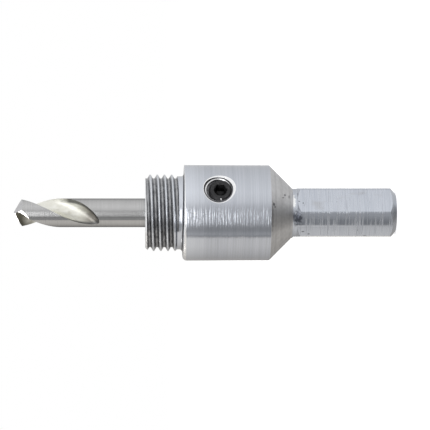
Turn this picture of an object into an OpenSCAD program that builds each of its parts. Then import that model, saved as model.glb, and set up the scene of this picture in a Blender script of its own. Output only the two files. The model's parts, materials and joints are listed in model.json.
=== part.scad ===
// Hole saw arbor: a turned body with a threaded spigot and a hexagonal shank, a pilot drill
// in its bore, and a set screw in its side that clamps the drill.
// The arbor stands on the end of its shank: +Z runs along the axis, from the shank's end face
// at z = 0 to the drill's point, and the set screw looks along -Y.

/* [Hexagonal shank] */
// Width across the flats of the shank
hex_af = 10; // [8:0.5:12]
// How far the turned bar trims the six corners
corner_trim = 0.08; // [0.03:0.01:0.25]
// Length from the end face to the root of the cone
shank_l = 21.6; // [16:0.2:30]
// How far inside the flats the end chamfer starts
end_step = 1; // [0.4:0.1:1.6]
// Angle of the end chamfer from the end face
end_chamfer_deg = 40; // [20:1:50]

/* [Neck and cone] */
// Length of the round neck between the hexagon and the cone
neck_l = 0.7; // [0.6:0.1:2]
// How far the neck stands outside the flats
neck_step = 0.03; // [0.02:0.01:0.15]
// Angle at which the hexagon's corners run down to the neck
neck_chamfer_deg = 42; // [30:1:60]
// Radius of the fillet between neck and cone
root_fillet = 1.6; // [0.8:0.1:2.2]
// Angle of the cone from the axis
cone_deg = 45; // [35:1:55]
// How far short of the cone's root the milled flats stop
flat_stop = 0.1; // [0.05:0.05:0.5]

/* [Round body] */
// Diameter of the body
body_d = 20; // [18.5:0.5:26]
// Length of the cylinder between cone and shoulder
body_l = 17.9; // [14:0.1:26]
// Chamfer on the edge of the shoulder
shoulder_chamfer = 0.5; // [0.2:0.1:0.8]

/* [Threaded spigot] */
// Outside diameter of the thread
thread_d = 16; // [13:0.5:16.5]
// Distance from one crest of the thread to the next
thread_pitch = 1.5; // [1:0.25:2]
// Length from the shoulder to the front face
spigot_l = 7.9; // [6:0.1:14]
// Lead-in chamfer on the thread
thread_lead_in = 0.7; // [0.4:0.1:1.2]
// Width of the undercut behind the thread
undercut_w = 1.3; // [1:0.1:2.4]
// Depth of the undercut below the thread's crests
undercut_depth = 0.35; // [0.2:0.05:0.8]
// Fillet between undercut and shoulder
undercut_fillet = 0.9; // [0.4:0.1:0.9]
// Chamfer on the mouth of the drill's bore
bore_chamfer = 0.3; // [0.1:0.1:0.6]

/* [Pilot drill] */
// Diameter of the drill
drill_d = 6; // [5:0.25:7]
// Length that stands out of the spigot
drill_out = 27.4; // [22:0.2:45]
// Length held in the bore
drill_in = 29.6; // [22:0.2:34]
// Angle of the point
point_deg = 118; // [100:1:140]
// Thickness of the web between the flutes
web_t = 1.1; // [0.9:0.05:1.4]
// Length of one turn of the flutes
helix_lead = 37; // [28:1:60]
// Angle that each land takes up round the axis
land_deg = 78; // [70:1:95]
// Angle round the axis at which the first lip ends
lip_turn = 308; // [0:1:359]
// Length of the flutes from the lips' outer corners
flute_l = 16.3; // [10:0.1:19]
// Length over which the flutes run out to nothing
runout_l = 7; // [4:0.1:8]
// Relief of the flank behind each lip
lip_relief_deg = 12; // [8:1:20]
// Angle round the axis from the lip's corner back to the ridge of the heel flank
heel_ridge_deg = 54; // [40:1:66]
// How far behind the axis that ridge passes
ridge_offset = 0.5; // [0.3:0.05:0.8]
// Relief of the heel flank, from the ridge down to the flute
heel_relief_deg = 45; // [30:1:50]
// Chamfer on the drill's rear end
drill_end_chamfer = 0.4; // [0.2:0.1:0.8]

/* [Set screw] */
// Diameter of the screw
screw_d = 5; // [4:0.5:5.5]
// Distance from the shoulder back to the screw's axis
screw_back = 7.55; // [5:0.05:10]
// How far the screw's face lies below the body's surface
screw_sink = 0.5; // [0.3:0.1:1.5]
// Width across the flats of the socket
socket_af = 2.5; // [2:0.1:2.6]
// Depth of the socket
socket_depth = 2.8; // [1.5:0.1:3.2]
// Inner diameter of the cup point's rim
cup_d = 2.4; // [1.6:0.1:2.8]
// Width of the cup point's rim
cup_rim_w = 0.2; // [0.1:0.05:0.4]
// Bevel round the screw's face
screw_bevel = 0.4; // [0.2:0.05:0.5]
// Diameter of the wider mouth of the screw's hole
mouth_d = 6.1; // [5.8:0.1:7]
// Depth of the mouth below the body's surface
mouth_depth = 1.2; // [0.9:0.1:2]
// How far the mouth's centre lies off the screw's axis, towards the thread
mouth_offset = 0.45; // [0:0.05:0.5]
// Chamfer on the rim of the mouth
mouth_chamfer = 0.2; // [0.1:0.05:0.4]

/* [Fits] */
// Clearance all round the drill in its bore
drill_gap = 0.05; // [0.02:0.01:0.09]
// Clearance all round the screw in its hole
screw_gap = 0.05; // [0.02:0.01:0.09]
// Gap between the cup point and the drill
cup_gap = 0.05; // [0.02:0.01:0.1]
// Gap between the drill's rear end and the bottom of the bore
heel_gap = 0.2; // [0.1:0.05:0.4]

/* [Hidden] */
$fn = 96;

// a cut runs this far past the surface that it opens
past = 1;

// radii
hex_r = hex_af / 2;
bar_r = hex_af / sqrt(3) - corner_trim;
end_face_r = hex_r - end_step;
neck_r = hex_r + neck_step;
body_r = body_d / 2;
thread_r = thread_d / 2;
undercut_r = thread_r - undercut_depth;
drill_r = drill_d / 2;
bore_r = drill_r + drill_gap;
hole_r = screw_d / 2;
screw_r = hole_r - screw_gap;
mouth_r = mouth_d / 2;
cup_r = cup_d / 2;
web_r = web_t / 2;

// heights along the axis, from the shank's end face
end_chamfer_z = (bar_r - end_face_r) * tan(end_chamfer_deg);
neck_z = shank_l - neck_l;
hex_top_z = neck_z - (bar_r - neck_r) / tan(neck_chamfer_deg);
body_z = shank_l + (body_r - neck_r) / tan(cone_deg);
shoulder_z = body_z + body_l;
front_z = shoulder_z + spigot_l;
tip_z = front_z + drill_out;
drill_end_z = front_z - drill_in;
bore_z = drill_end_z - heel_gap;
screw_z = shoulder_z - screw_back;

// distances from the arbor's axis along the screw
cup_s = drill_r + cup_gap;
face_s = body_r - screw_sink;

// Arbor body

// the material left in the corner p by a fillet of radius r, between a wall that comes from
// direction a_in and one that leaves in direction a_out, both seen from the corner
module corner_fillet(p, r, a_in, a_out) {
    half = abs(a_out - a_in) / 2;
    reach = r / tan(half);
    mid = (a_in + a_out) / 2;
    centre = p + r / sin(half) * [cos(mid), sin(mid)];
    difference() {
        polygon([
            p,
            p + reach * [cos(a_in), sin(a_in)],
            centre,
            p + reach * [cos(a_out), sin(a_out)]
        ]);
        translate(centre) circle(r = r);
    }
}

// The thread is drawn as parallel grooves with its pitch and its true profile: flanks at 60
// degrees, crests an eighth and roots a quarter of the pitch wide. It has no helix.
crest_w = thread_pitch / 8;
root_w = thread_pitch / 4;
groove_w = thread_pitch - crest_w;
groove_depth = (groove_w - root_w) / 2 / tan(30);

// heights of the grooves, from the crest behind the lead-in back to the undercut
thread_l = front_z - thread_lead_in - shoulder_z - undercut_w;
groove_z = [
    for (i = [1 : round(thread_l / thread_pitch)])
        front_z - thread_lead_in - crest_w / 2 - (i - 0.5) * thread_pitch
];

// half section of one groove, with its middle at height 0
module groove_section() {
    polygon([
        [thread_r - groove_depth, -root_w / 2],
        [thread_r - groove_depth, root_w / 2],
        [thread_r, groove_w / 2],
        [thread_r + past, groove_w / 2],
        [thread_r + past, -groove_w / 2],
        [thread_r, -groove_w / 2]
    ]);
}

// half section of the turned blank: radius across, height up
module blank_section() {
    difference() {
        polygon([
            [0, 0],
            [end_face_r, 0],
            [bar_r, end_chamfer_z],
            [bar_r, hex_top_z],
            [neck_r, neck_z],
            [neck_r, shank_l],
            [body_r, body_z],
            [body_r, shoulder_z - shoulder_chamfer],
            [body_r - shoulder_chamfer, shoulder_z],
            [undercut_r, shoulder_z],
            [undercut_r, shoulder_z + undercut_w],
            [thread_r, shoulder_z + undercut_w + undercut_depth],
            [thread_r, front_z - thread_lead_in],
            [thread_r - thread_lead_in, front_z],
            [0, front_z]
        ]);
        for (z = groove_z) translate([0, z]) groove_section();
    }
    corner_fillet([neck_r, shank_l], root_fillet, -90, 90 - cone_deg);
    corner_fillet([undercut_r, shoulder_z], undercut_fillet, 0, 90);
}

// the six flats, milled just past the neck into the foot of the cone
module milled_to_hexagon() {
    flats_z = shank_l - flat_stop;
    translate([0, 0, -past])
        cylinder(h = flats_z + past, r = hex_af / sqrt(3), $fn = 6);
    translate([0, 0, flats_z])
        cylinder(h = front_z - flats_z + past, r = body_r + thread_r);
}

// blind bore for the drill, with the drilled cone at its bottom and a broken edge at its mouth
module drill_bore() {
    translate([0, 0, bore_z]) {
        cylinder(h = front_z - bore_z + past, r = bore_r);
        mirror([0, 0, 1])
            cylinder(h = bore_r / tan(point_deg / 2), r1 = bore_r, r2 = 0);
    }
    translate([0, 0, front_z - bore_chamfer])
        cylinder(h = bore_chamfer + past, r1 = bore_r, r2 = bore_r + bore_chamfer + past);
}

// places its children on the set screw's axis, pointing out of the body
module on_screw_axis() {
    translate([0, 0, screw_z]) rotate([90, 0, 0]) children();
}

// hole for the set screw, and its mouth, whose rim is broken where it meets the round body
module screw_hole() {
    on_screw_axis() cylinder(h = body_r + past, r = hole_r);
    rim_s = sqrt(body_r * body_r - mouth_r * mouth_r) - mouth_chamfer;
    translate([0, 0, mouth_offset]) on_screw_axis() {
        translate([0, 0, body_r - mouth_depth])
            cylinder(h = mouth_depth + past, r = mouth_r);
        translate([0, 0, rim_s])
            cylinder(h = body_r, r1 = mouth_r, r2 = mouth_r + body_r);
    }
}

module arbor_body() {
    color("#c6c8ce")
    difference() {
        intersection() {
            rotate_extrude() blank_section();
            milled_to_hexagon();
        }
        drill_bore();
        screw_hole();
    }
}

// Pilot drill

// The flute's outline is drawn with the lip's outer corner on the X axis. One side is the rake
// face, whose curve makes the lip straight on the cone of the point. The rest is one arc, which
// touches the web and ends at the heel of the next land.
flute_deg = 180 - land_deg;
flute_turn = 360 / helix_lead;

// the arc's centre lies at this share of the flute's angle, and the cutter lifts out at the other
arc_share = 0.55;
lift_share = 0.45;
arc_deg = arc_share * flute_deg;
lift_deg = lift_share * flute_deg;

// radius and centre of the arc, from where it touches the web and where it meets the heel
heel_cos = cos(flute_deg - arc_deg);
arc_r = (drill_r * drill_r - 2 * web_r * drill_r * heel_cos + web_r * web_r)
    / (2 * (drill_r * heel_cos - web_r));
arc_centre = (web_r + arc_r) * [cos(arc_deg), sin(arc_deg)];
heel = drill_r * [cos(flute_deg), sin(flute_deg)];
heel_angle = atan2(heel.y - arc_centre.y, heel.x - arc_centre.x);

// angle of the rake face at radius r, level with the corner
function rake_angle(r) = asin(web_r / r) - asin(web_r / drill_r)
    - flute_turn * (drill_r - r) / tan(point_deg / 2);

// the outline, from outside the drill along the rake face, round the arc past the heel, and back
rake_steps = 4;
arc_steps = 11;
outer_r = 1.25 * drill_r;
closing_r = 1.3 * drill_r;
past_heel_deg = 14;
arc_sweep = 270 - heel_angle + past_heel_deg;
rake_points = [
    for (i = [0 : rake_steps])
        let (r = outer_r + (arc_centre.x - outer_r) * i / rake_steps)
        r * [cos(rake_angle(r)), sin(rake_angle(r))]
];
arc_points = [
    for (i = [1 : arc_steps])
        let (a = -90 - arc_sweep * i / arc_steps)
        arc_centre + arc_r * [cos(a), sin(a)]
];
closing_points = [
    for (part = [2 / 3, 1 / 3]) closing_r * [cos(part * flute_deg), sin(part * flute_deg)]
];
flute_outline = concat(rake_points, arc_points, closing_points);

// heights of the outline's copies: even steps along the flute, closer together in the run-out
cone_fall = 1 / tan(point_deg / 2);
lip_fall = tan(lip_relief_deg) / sin(point_deg / 2);
corner_z = tip_z + web_r * lip_fall - drill_r * cone_fall;
flute_end_z = corner_z - flute_l;
runout_z = flute_end_z + runout_l;
full_steps = 16;
runout_steps = 12;
flute_z = concat(
    [for (i = [0 : full_steps]) tip_z + past + (runout_z - tip_z - past) * i / full_steps],
    [for (i = [1 : runout_steps]) runout_z - runout_l * i / runout_steps]
);

// how far the outline has moved out of the drill at height z; at the end it is just clear
end_clearance = 0.1;
full_lift = drill_r - web_r + end_clearance;
function flute_lift(z) = z >= runout_z ? 0 : full_lift * pow((runout_z - z) / runout_l, 2);

function flute_ring(z) = let (
        turn = lip_turn + flute_turn * (z - corner_z),
        shift = flute_lift(z) * [cos(lift_deg), sin(lift_deg)]
    )
    [for (p = flute_outline) let (q = p + shift) [
        q.x * cos(turn) - q.y * sin(turn),
        q.x * sin(turn) + q.y * cos(turn),
        z
    ]];

module flute_cut() {
    n = len(flute_outline);
    rings = len(flute_z);
    polyhedron(
        points = [for (z = flute_z) each flute_ring(z)],
        faces = concat(
            [[for (i = [0 : n - 1]) i]],
            [for (k = [0 : rings - 2], i = [0 : n - 1])
                [k * n + (i + 1) % n, k * n + i, (k + 1) * n + i]],
            [for (k = [0 : rings - 2], i = [0 : n - 1])
                [k * n + (i + 1) % n, (k + 1) * n + i, (k + 1) * n + (i + 1) % n]],
            [[for (i = [n - 1 : -1 : 0]) (rings - 1) * n + i]]
        ),
        convexity = 6
    );
}

// height of the lip's plane over the point [x, y], with the lip along X
function flank_z(x, y) = tip_z + lip_fall * y - cone_fall * x;

// what one plane of the point removes: it falls outwards along X, by `fall` for each
// millimetre, and rises across X by `relief`
module flank_cut(fall, relief) {
    size = 4 * drill_r;
    rotate([0, atan(fall), 0]) rotate([relief, 0, 0])
        translate([-size / 2, -size / 2, 0]) cube(size);
}

// both flanks of both lips: one plane through the lip, and one from a ridge down to the heel
module drill_point() {
    lip_deg = asin(web_r / drill_r);
    ridge_deg = lip_deg - heel_ridge_deg;
    ridge_fall = cone_fall * cos(ridge_deg) - lip_fall * sin(ridge_deg);
    ridge_at = ridge_offset * [sin(ridge_deg), -cos(ridge_deg)];
    for (side = [0, 180]) rotate([0, 0, lip_turn - lip_deg + side]) {
        translate([0, 0, flank_z(0, 0)])
            flank_cut(cone_fall, lip_relief_deg);
        translate([ridge_at.x, ridge_at.y, flank_z(ridge_at.x, ridge_at.y)])
            rotate([0, 0, ridge_deg]) flank_cut(ridge_fall, heel_relief_deg);
    }
}

module pilot_drill() {
    color("#b4b2aa")
    difference() {
        translate([0, 0, drill_end_z]) rotate_extrude() polygon([
            [0, 0],
            [drill_r - drill_end_chamfer, 0],
            [drill_r, drill_end_chamfer],
            [drill_r, tip_z - drill_end_z + past],
            [0, tip_z - drill_end_z + past]
        ]);
        for (side = [0, 180]) rotate([0, 0, side]) flute_cut();
        drill_point();
    }
}

// Set screw

module set_screw() {
    length = face_s - cup_s;
    color("#2d2d30")
    on_screw_axis() translate([0, 0, cup_s])
    difference() {
        rotate_extrude() polygon([
            [0, cup_r / 2],
            [cup_r, 0],
            [cup_r + cup_rim_w, 0],
            [screw_r, screw_r - cup_r - cup_rim_w],
            [screw_r, length - screw_bevel],
            [screw_r - screw_bevel, length],
            [0, length]
        ]);
        translate([0, 0, length - socket_depth]) rotate([0, 0, 30])
            cylinder(h = socket_depth + past, r = socket_af / sqrt(3), $fn = 6);
    }
}

arbor_body();
pilot_drill();
set_screw();
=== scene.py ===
# %% [markdown]
# # A hole saw arbor, turned, milled and threaded in Blender
#
# A hole saw arbor carries a cup-shaped saw. The saw screws on the short thread, the hexagonal
# shank goes into the drill, and a small twist drill in the middle keeps the saw on its mark.
# A set screw in the side of the body clamps that drill.
#
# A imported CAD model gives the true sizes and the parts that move. It is loaded first, as a
# frame that never changes. Every piece below is a finer version of one of its solids: the
# helix of the thread, the tapped hole, the worn edges and the tool marks are too fine for the
# CAD solids, and they are what makes the metal look real.

# %% Load the frame
import json
import math

import bmesh
import bpy
from mathutils import Matrix, Vector


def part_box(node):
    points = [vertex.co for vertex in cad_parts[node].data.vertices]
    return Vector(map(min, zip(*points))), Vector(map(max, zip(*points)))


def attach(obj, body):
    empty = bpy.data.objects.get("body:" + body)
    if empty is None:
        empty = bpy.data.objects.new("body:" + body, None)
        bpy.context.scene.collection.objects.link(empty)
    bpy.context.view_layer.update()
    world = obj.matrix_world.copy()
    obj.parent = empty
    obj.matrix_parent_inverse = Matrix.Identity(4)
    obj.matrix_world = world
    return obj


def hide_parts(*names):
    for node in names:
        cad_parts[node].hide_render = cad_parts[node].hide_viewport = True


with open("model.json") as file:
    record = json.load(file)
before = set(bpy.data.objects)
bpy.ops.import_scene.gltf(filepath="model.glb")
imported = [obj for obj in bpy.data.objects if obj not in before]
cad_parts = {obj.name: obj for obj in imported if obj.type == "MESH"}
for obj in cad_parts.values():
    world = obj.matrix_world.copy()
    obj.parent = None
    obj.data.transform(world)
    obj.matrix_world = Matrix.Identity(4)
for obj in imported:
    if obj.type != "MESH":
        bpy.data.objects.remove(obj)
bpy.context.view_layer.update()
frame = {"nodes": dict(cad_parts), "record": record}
print("CAD nodes:", ", ".join(sorted(frame["nodes"])))

# %% [markdown]
# ## Sizes
#
# The meshes are drawn in millimetres, as a machinist would, and shrunk to metres at the end.
# Sizes that the frame already knows are read from it, so that the fine pieces can't drift away
# from the solids that they replace. Only what the frame doesn't say is written here.

# %% Sizes that come from the frame
MM = 0.001


def box_mm(node):
    """Lowest and highest corner of a CAD node, in millimetres."""
    low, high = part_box(node)
    return low / MM, high / MM


mounts = {mount["name"]: mount for mount in frame["record"]["mounts"]}

BODY_R = box_mm("arbor_body")[1].x
FRONT_Z = box_mm("arbor_body")[1].z
SHOULDER_Z = mounts["shoulder"]["pos_m"][2] / MM
THREAD_R = mounts["spigot"]["dims"]["r_mm"]

DRILL_R = box_mm("pilot_drill")[1].x
DRILL_END_Z = box_mm("pilot_drill")[0].z
TIP_Z = box_mm("pilot_drill")[1].z

SCREW_R = box_mm("set_screw")[1].x
SCREW_Z = (box_mm("set_screw")[0].z + box_mm("set_screw")[1].z) / 2
SCREW_FACE = -box_mm("set_screw")[0].y
SCREW_CUP = -box_mm("set_screw")[1].y

# which way the photograph's top lies, seen along the axis
CAMERA_TURN = -30.0
PICTURE_UP = Vector((math.cos(math.radians(CAMERA_TURN)), math.sin(math.radians(CAMERA_TURN))))

print(f"body {2 * BODY_R:.1f} mm across, {FRONT_Z:.2f} mm long, thread {2 * THREAD_R:.1f} mm")
print(f"drill {2 * DRILL_R:.1f} mm across, from {DRILL_END_Z:.2f} to {TIP_Z:.2f} mm")
print(f"set screw at {SCREW_Z:.2f} mm, from {SCREW_CUP:.2f} to {SCREW_FACE:.2f} mm off the axis")

# %% [markdown]
# ## Helpers: outline, lathe, cutter
#
# Almost everything here was made on a lathe, so the main helper turns an outline round an
# axis. The outline is a list of corners, and a third number rounds a corner with an arc of
# that radius. Sharp corners would look like computer graphics: on real metal even a crisp edge
# has a tiny rounding that catches the light.

# %% Round the corners of an outline
ARC_STEP = math.radians(15)


def rounded(corners):
    """Points of an outline of (x, y) or (x, y, radius) corners, with the radii as arcs."""
    points = []
    for i, corner in enumerate(corners):
        here = Vector(corner[:2])
        radius = corner[2] if len(corner) > 2 else 0
        if not radius:
            points.append(here)
            continue
        back = (Vector(corners[i - 1][:2]) - here).normalized()
        ahead = (Vector(corners[i + 1][:2]) - here).normalized()
        half = back.angle(ahead) / 2
        centre = here + (back + ahead).normalized() * radius / math.sin(half)
        start = here + back * radius / math.tan(half) - centre
        sweep = start.angle_signed(here + ahead * radius / math.tan(half) - centre)
        steps = max(2, math.ceil(abs(sweep) / ARC_STEP))
        for k in range(steps + 1):
            points.append(centre + Matrix.Rotation(-sweep * k / steps, 2) @ start)
    return points


# %% Turn an outline round the Z axis, and make objects and cuts
TURN_STEPS = 240


def lathe(corners, steps=TURN_STEPS):
    """A closed bmesh: the outline's (radius, height) corners turned round the Z axis."""
    made = bmesh.new()
    rings = []
    for point in rounded(corners):
        if point.x < 1e-6:
            rings.append([made.verts.new((0, 0, point.y))] * steps)
            continue
        angles = [math.tau * k / steps for k in range(steps)]
        rings.append([
            made.verts.new((point.x * math.cos(a), point.x * math.sin(a), point.y))
            for a in angles
        ])
    for low, high in zip(rings, rings[1:]):
        for k in range(steps):
            # on the axis two corners are one point, and dict.fromkeys leaves a triangle
            quad = (low[k], low[(k + 1) % steps], high[(k + 1) % steps], high[k])
            made.faces.new(dict.fromkeys(quad))
    return made


def add_piece(name, made, material):
    """Makes an object from a bmesh, with one material on all its faces."""
    bmesh.ops.recalc_face_normals(made, faces=made.faces)
    mesh = bpy.data.meshes.new(name)
    made.to_mesh(mesh)
    made.free()
    mesh.materials.append(material)
    piece = bpy.data.objects.new(name, mesh)
    bpy.context.scene.collection.objects.link(piece)
    return piece


def cut(piece, cutter, operation="DIFFERENCE"):
    """Cuts the piece with the cutter, whose material comes along on the new faces."""
    modifier = piece.modifiers.new("cut", "BOOLEAN")
    modifier.operation = operation
    modifier.object = cutter
    modifier.solver = "EXACT"
    modifier.material_mode = "TRANSFER"
    bpy.context.view_layer.update()
    depsgraph = bpy.context.evaluated_depsgraph_get()
    mesh = bpy.data.meshes.new_from_object(piece.evaluated_get(depsgraph))
    piece.modifiers.clear()
    piece.data = mesh
    bpy.data.objects.remove(cutter)
    print(f"{piece.name}: {operation.lower()} leaves {len(mesh.polygons)} faces")


# %% [markdown]
# A thread is cut the way a lathe does it: a V-shaped tool travels along a helix and takes the
# metal out. So the cutter is that tool's whole path, one long twisted tube, and a boolean
# subtracts it. That gives real flanks with real ends, where a bump map would give only the
# illusion of a thread and a smooth silhouette.

# %% The path of a thread-cutting tool
THREAD_HALF_ANGLE = math.radians(30)
CREST_BREAK = 0.03


def thread_cutter(tip_r, crest_r, tip_width, pitch, start, turns, phase, depth_at=None, steps=96):
    """A closed bmesh along a right-hand helix round Z. The tool's tip is tip_width wide at
    radius tip_r, and its sides open at 60 degrees almost to crest_r, then wider, which breaks
    the crests. At phase (an angle) the first turn's tip is at height start. depth_at(turn) is
    the share of the full depth."""
    made = bmesh.new()
    side = math.copysign(1, crest_r - tip_r)
    crest = crest_r - tip_r - side * CREST_BREAK
    reach = crest + side * (CREST_BREAK + 0.01)
    crest_width = tip_width + 2 * abs(crest) * math.tan(THREAD_HALF_ANGLE)
    open_width = crest_width + 2 * abs(reach - crest) / math.tan(THREAD_HALF_ANGLE)
    half = [(0, tip_width / 2), (crest, crest_width / 2), (reach, open_width / 2)]
    profile = [(out, -along) for out, along in reversed(half)] + half
    sides = len(profile)
    rings = []
    for k in range(int(turns * steps) + 1):
        turn = k / steps
        angle = phase + math.tau * turn
        lift = (1 - depth_at(turn)) * reach if depth_at else 0
        rings.append([
            made.verts.new((
                (tip_r + lift + out) * math.cos(angle),
                (tip_r + lift + out) * math.sin(angle),
                start + pitch * turn + along,
            ))
            for out, along in profile
        ])
    for low, high in zip(rings, rings[1:]):
        for k in range(sides):
            made.faces.new((low[k], low[(k + 1) % sides], high[(k + 1) % sides], high[k]))
    made.faces.new(rings[0])
    made.faces.new(rings[-1])
    return made


# %% [markdown]
# ## Helpers for materials
#
# Every finish is made of nodes: noise for the tool marks, ramps for the tints. These few
# helpers keep the node code as short as the sentence that describes it.

# %% Node helpers
def add_node(tree, kind, settings=None, **sockets):
    """Adds a node. Each socket gets a number, a colour, or a link from another node's output."""
    made = tree.nodes.new(kind)
    for name, value in (settings or {}).items():
        setattr(made, name, value)
    for name, value in sockets.items():
        connect(tree, value, made.inputs[name.replace("_", " ")])
    return made


def connect(tree, value, socket):
    if isinstance(value, bpy.types.NodeSocket):
        tree.links.new(value, socket)
    else:
        socket.default_value = value


def calculate(tree, operation, *values):
    """A Math node with its inputs in order."""
    made = tree.nodes.new("ShaderNodeMath")
    made.operation = operation
    for value, socket in zip(values, made.inputs):
        connect(tree, value, socket)
    return made.outputs[0]


def weighted(tree, first, share, second):
    """The given share of the first value, and the rest of the second."""
    one = calculate(tree, "MULTIPLY", first, share)
    other = calculate(tree, "MULTIPLY", second, 1 - share)
    return calculate(tree, "ADD", one, other)


def noise(tree, coordinates, scale, detail=3.0, roughness=0.5):
    """Noise from 0 to 1 that repeats about scale times a metre, along x, y and z."""
    stretched = add_node(tree, "ShaderNodeMapping", Vector=coordinates, Scale=scale)
    made = add_node(
        tree, "ShaderNodeTexNoise", Vector=stretched.outputs[0], Scale=1.0, Detail=detail,
        Roughness=roughness,
    )
    return made.outputs[0]


def spread(tree, value, low, high, to_low, to_high):
    """Maps low..high to to_low..to_high, and holds the ends."""
    made = add_node(
        tree, "ShaderNodeMapRange", Value=value, From_Min=low, From_Max=high, To_Min=to_low,
        To_Max=to_high,
    )
    return made.outputs[0]


def blend_colours(tree, share, first, second, how="MIX"):
    made = tree.nodes.new("ShaderNodeMix")
    made.data_type = "RGBA"
    made.blend_type = how
    connect(tree, share, made.inputs[0])
    connect(tree, first, made.inputs[6])
    connect(tree, second, made.inputs[7])
    return made.outputs[2]


def new_metal(name, anisotropic=0.0):
    """A metal's material, its tree, its shader and the coordinates of the piece, in metres."""
    material = bpy.data.materials.new(name)
    material.use_nodes = True
    tree = material.node_tree
    shader = tree.nodes["Principled BSDF"]
    shader.inputs["Metallic"].default_value = 1.0
    shader.inputs["Anisotropic"].default_value = anisotropic
    if anisotropic:
        shader.inputs["Anisotropic Rotation"].default_value = 0.25
        around = add_node(tree, "ShaderNodeTangent", {"direction_type": "RADIAL", "axis": "Z"})
        tree.links.new(around.outputs[0], shader.inputs["Tangent"])
    place = tree.nodes.new("ShaderNodeTexCoord").outputs["Object"]
    return material, tree, shader, place


def distance_along(tree, place, direction):
    """How far a point lies from the origin along a direction, in metres."""
    made = add_node(tree, "ShaderNodeVectorMath", {"operation": "DOT_PRODUCT"}, Vector=place)
    made.inputs[1].default_value = direction
    return made.outputs["Value"]


def height_in_picture(tree, place):
    """How far a point lies from the axis towards the picture's top, in metres."""
    return distance_along(tree, place, (PICTURE_UP.x, PICTURE_UP.y, 0))


def height_on_axis(tree, place):
    return add_node(tree, "ShaderNodeSeparateXYZ", Vector=place).outputs[2]


def length_of(tree, x, y):
    flat = add_node(tree, "ShaderNodeCombineXYZ", X=x, Y=y, Z=0.0).outputs[0]
    made = add_node(tree, "ShaderNodeVectorMath", {"operation": "LENGTH"}, Vector=flat)
    return made.outputs["Value"]


def distance_from_axis(tree, place):
    split = add_node(tree, "ShaderNodeSeparateXYZ", Vector=place)
    return length_of(tree, split.outputs[0], split.outputs[1])


def spot(tree, place, across, along, size, edge=0.4):
    """1 inside an oval spot on the camera's side, and 0 outside. across is how far its middle
    lies above the axis in the photograph and along is its height on the axis. size is its half
    width across and half length along. All are in mm, and edge is the soft share of it."""
    wobble = spread(tree, noise(tree, place, (1500, 1500, 1500), detail=2), 0.3, 0.7, -0.35, 0.35)
    first = calculate(tree, "SUBTRACT", height_in_picture(tree, place), across * MM)
    second = calculate(tree, "SUBTRACT", height_on_axis(tree, place), along * MM)
    first = calculate(tree, "DIVIDE", first, size[0] * MM)
    second = calculate(tree, "DIVIDE", second, size[1] * MM)
    reach = calculate(tree, "ADD", length_of(tree, first, second), wobble)
    inside = spread(tree, reach, 1 - edge, 1, 1, 0)
    toward_camera = distance_along(tree, place, (PICTURE_UP.y, -PICTURE_UP.x, 0))
    on_this_side = calculate(tree, "GREATER_THAN", toward_camera, 0.0)
    return calculate(tree, "MULTIPLY", inside, on_this_side)


def set_bump(tree, shader, height, microns):
    """Bump from a height of 0 to 1, as deep as the given number of micrometres."""
    made = add_node(
        tree, "ShaderNodeBump", Strength=1.0, Distance=microns * MM / 1000, Height=height)
    tree.links.new(made.outputs[0], shader.inputs["Normal"])


# %% [markdown]
# ## Turned steel
#
# A lathe tool leaves a fine spiral of grooves. They run round the part, so a reflection is
# smeared along the axis but stays sharp across it: that is why the body shows long straight
# bands of light and dark. The shader's anisotropy does the smearing, and noise that is
# squeezed along Z draws the single lines that are wide enough to see. Next to the shoulder the
# base colour is lighter.

# %% Turned steel
def make_turned_steel():
    material, tree, shader, place = new_metal("turned_steel", anisotropic=0.75)
    fine = noise(tree, place, (24, 24, 3600))
    broad = noise(tree, place, (16, 16, 900), detail=4)
    short = noise(tree, place, (260, 260, 3600), detail=2)
    smears = noise(tree, place, (150, 150, 60))
    bands = noise(tree, place, (25, 25, 330), detail=2)
    marks = weighted(tree, fine, 0.6, broad)
    shade = spread(tree, marks, 0.3, 0.7, 0.0, 1.0)
    colour = blend_colours(tree, shade, (0.475, 0.50, 0.545, 1), (0.575, 0.60, 0.66, 1))
    pale = spread(tree, bands, 0.35, 0.65, 0, 0.30)
    colour = blend_colours(tree, pale, colour, (0.62, 0.64, 0.68, 1))
    height = height_on_axis(tree, place)
    # the base colour is lighter over the last few millimetres before the shoulder
    lighter_near_shoulder = spread(tree, height, (SHOULDER_Z - 5) * MM, (SHOULDER_Z - 1.5) * MM, 0.0, 0.7)
    colour = blend_colours(tree, lighter_near_shoulder, colour, (0.69, 0.72, 0.78, 1))
    tree.links.new(colour, shader.inputs["Base Color"])
    smooth = spread(tree, marks, 0.3, 0.7, 0.21, 0.15)
    smeared = spread(tree, smears, 0.4, 0.7, 0, 0.05)
    tree.links.new(calculate(tree, "ADD", smooth, smeared), shader.inputs["Roughness"])
    set_bump(tree, shader, weighted(tree, marks, 0.4, short), 90)
    return material


turned_steel = make_turned_steel()
print("made", turned_steel.name)

# %% [markdown]
# The cone was cut with a blunter tool and never polished. The rings are coarser there, the
# swarf has left small dark nicks, and a line of painted shade darkens the edge to the round body.

# %% Steel of the cone
NICK_COLOUR = (0.11, 0.11, 0.12, 1)


def add_nicks(tree, place, colour, nicks, depth=0.85):
    """Darkens the colour in each nick: (across, along, size) in mm, on the camera's side."""
    for across, along, size in nicks:
        dark = calculate(tree, "MULTIPLY", spot(tree, place, across, along, size), depth)
        colour = blend_colours(tree, dark, colour, NICK_COLOUR)
    return colour


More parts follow.
